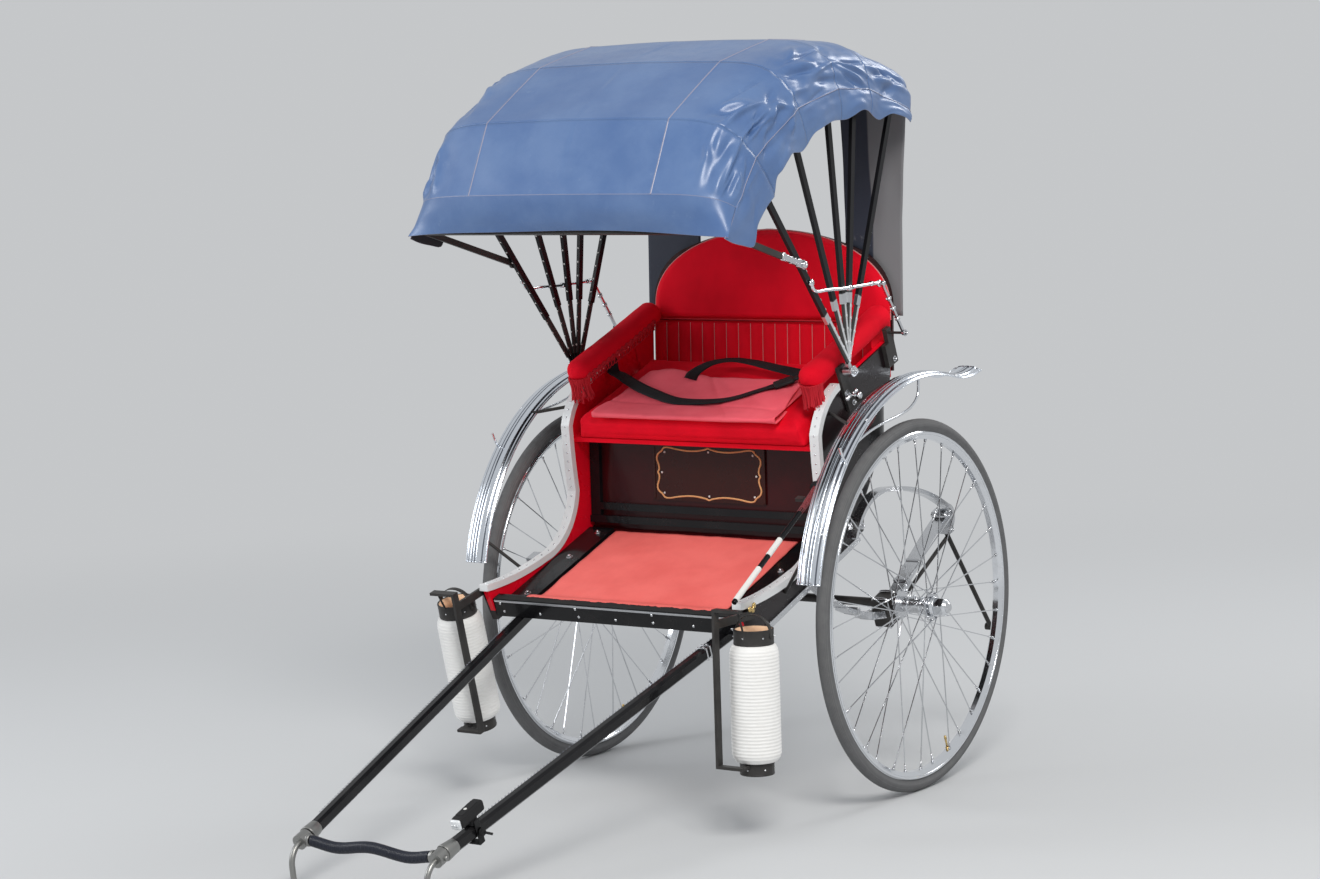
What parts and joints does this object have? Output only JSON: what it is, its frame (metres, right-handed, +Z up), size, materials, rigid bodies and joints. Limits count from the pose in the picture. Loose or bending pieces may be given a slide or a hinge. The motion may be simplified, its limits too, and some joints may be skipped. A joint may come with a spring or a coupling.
{
  "type": "pulled rickshaw",
  "caption": "Two-wheeled pulled passenger cart with a padded seat, folding hood, long shafts joined by a crossbar, spoked wheels, mudguards and paper lanterns",
  "frame": {"origin": "on the ground under the middle of the axle, as it stands parked", "axes": "+X to the vehicle's left side as seen by its passenger, +Y to the rear, +Z up; the shafts point to -Y"},
  "size_m": [1.399, 2.5586, 2.2267],
  "materials": {
    "tyre": "black rubber with a shallow tread",
    "rim_chrome": "polished chrome, lightly speckled",
    "hub_chrome": "polished chrome, dulled near the spokes",
    "spoke_steel": "bright plated wire",
    "black_iron": "satin black paint",
    "bright_iron": "bright plating with light wear",
    "bow_iron": "satin black with pale rivets",
    "black_lacquer": "gloss black lacquer",
    "maroon_lacquer": "deep maroon lacquer, semi-gloss",
    "deck_wood": "oiled boards",
    "salmon_cloth": "flat woven cloth",
    "plate_lacquer": "gloss lacquer with a gold border",
    "white_trim": "white capping with bright rivets",
    "red_velvet": "red pile cloth, padded",
    "seat_shell": "dark lacquered ply",
    "webbing": "black woven webbing",
    "guard_chrome": "polished with pressed ribs",
    "hood_cloth": "blue-grey coated cloth with pale piping",
    "lamp_case": "black moulded case",
    "parasol_cloth": "folded red cloth, white bound grip",
    "lantern_paper": "ribbed cream paper, lit warm inside"
  },
  "bodies": {
    "body": {"axle": "black_iron", "springs": "bright_iron", "spring_clamps": "black_iron", "spring_hangers": "bright_iron", "shafts": "black_lacquer", "crossbar": "black_lacquer", "shaft_tips": "bright_iron", "floor_deck": "deck_wood", "front_rail": "black_lacquer", "floor_side_boards": "black_lacquer", "floor_mat": "salmon_cloth", "riser_panel": "maroon_lacquer", "riser_frame": "black_lacquer", "plate": "plate_lacquer", "seat_board": "black_lacquer", "rear_panel": "maroon_lacquer", "side_panels": "maroon_lacquer", "side_trims": "white_trim", "seat_cushion": "red_velvet", "lap_cloth": "salmon_cloth", "seat_belt": "webbing", "backrest_pad": "red_velvet", "backrest_pleats": "red_velvet", "backrest_shell": "seat_shell", "armrests": "red_velvet", "mudguards": "guard_chrome", "guard_stays": "black_iron", "hood_pivots": "black_iron", "rear_curtain_low": "hood_cloth", "stay_brackets": "black_iron", "rear_stand": "black_iron", "sill_irons": "bright_iron", "lamp": "lamp_case", "parasol": "parasol_cloth", "lanterns": "lantern_paper", "lantern_fittings": "black_lacquer"},
    "wheel_left": {"tyre_left": "tyre", "rim_left": "rim_chrome", "hub_left": "hub_chrome", "spokes_left": "spoke_steel"},
    "wheel_right": {"tyre_right": "tyre", "rim_right": "rim_chrome", "hub_right": "hub_chrome", "spokes_right": "spoke_steel"},
    "bow_5": {"bow_5": "bow_iron", "rear_curtain": "hood_cloth"},
    "bow_4": {"bow_4": "bow_iron", "cover_4": "hood_cloth"},
    "bow_3": {"bow_3": "bow_iron", "cover_3": "hood_cloth"},
    "bow_2": {"bow_2": "bow_iron", "cover_2": "hood_cloth"},
    "bow_1": {"bow_1": "bow_iron", "cover_1": "hood_cloth", "front_cover": "hood_cloth", "joint_pins": "bright_iron"},
    "front_bow": {"front_bow": "bow_iron", "front_valance": "hood_cloth"},
    "iron_rods": {"iron_rods": "bright_iron"},
    "iron_stays": {"iron_stays": "bright_iron"}
  },
  "joints": [
    {"name": "hood_fold", "type": "hinge", "parent": "body", "child": "bow_5", "pos_m": [0, -0.18191, 1.25529], "axis": [-1, 0, 0], "range_deg": [0, 46]},
    {"name": "bow_4_fold", "type": "hinge", "parent": "bow_5", "child": "bow_4", "pos_m": [0, -0.18191, 1.25529], "axis": [-1, 0, 0], "range_deg": [0, 8]},
    {"name": "bow_3_fold", "type": "hinge", "parent": "bow_4", "child": "bow_3", "pos_m": [0, -0.18191, 1.25529], "axis": [-1, 0, 0], "range_deg": [0, 3.7]},
    {"name": "bow_2_fold", "type": "hinge", "parent": "bow_3", "child": "bow_2", "pos_m": [0, -0.18191, 1.25529], "axis": [-1, 0, 0], "range_deg": [0, 7.8]},
    {"name": "bow_1_fold", "type": "hinge", "parent": "bow_2", "child": "bow_1", "pos_m": [0, -0.18191, 1.25529], "axis": [-1, 0, 0], "range_deg": [0, 10]},
    {"name": "front_bow_fold", "type": "hinge", "parent": "bow_1", "child": "front_bow", "pos_m": [0, -0.45845, 1.57933], "axis": [-1, 0, 0], "range_deg": [0, 22]},
    {"name": "iron_rod_turn", "type": "hinge", "parent": "bow_1", "child": "iron_rods", "pos_m": [0, -0.41171, 1.52456], "axis": [-1, 0, 0], "range_deg": [-26.84, 0]},
    {"name": "iron_stay_turn", "type": "hinge", "parent": "body", "child": "iron_stays", "pos_m": [0, 0.08295, 1.34625], "axis": [-1, 0, 0], "range_deg": [0, 158.59]},
    {"name": "wheel_left_turn", "type": "hinge", "parent": "body", "child": "wheel_left", "pos_m": [0.5875, 0, 0.55], "axis": [1, 0, 0], "continuous": true},
    {"name": "wheel_right_turn", "type": "hinge", "parent": "body", "child": "wheel_right", "pos_m": [-0.5875, 0, 0.55], "axis": [1, 0, 0], "continuous": true}
  ],
  "couplings": [
    {"joint": "bow_4_fold", "follows": "hood_fold", "ratio": 0.17391},
    {"joint": "bow_3_fold", "follows": "hood_fold", "ratio": 0.08043},
    {"joint": "bow_2_fold", "follows": "hood_fold", "ratio": 0.16956},
    {"joint": "bow_1_fold", "follows": "hood_fold", "ratio": 0.21739},
    {"joint": "front_bow_fold", "follows": "hood_fold", "ratio": 0.47826},
    {"joint": "iron_rod_turn", "follows": "hood_fold", "ratio": -0.58355},
    {"joint": "iron_stay_turn", "follows": "hood_fold", "ratio": 3.4476}
  ]
}
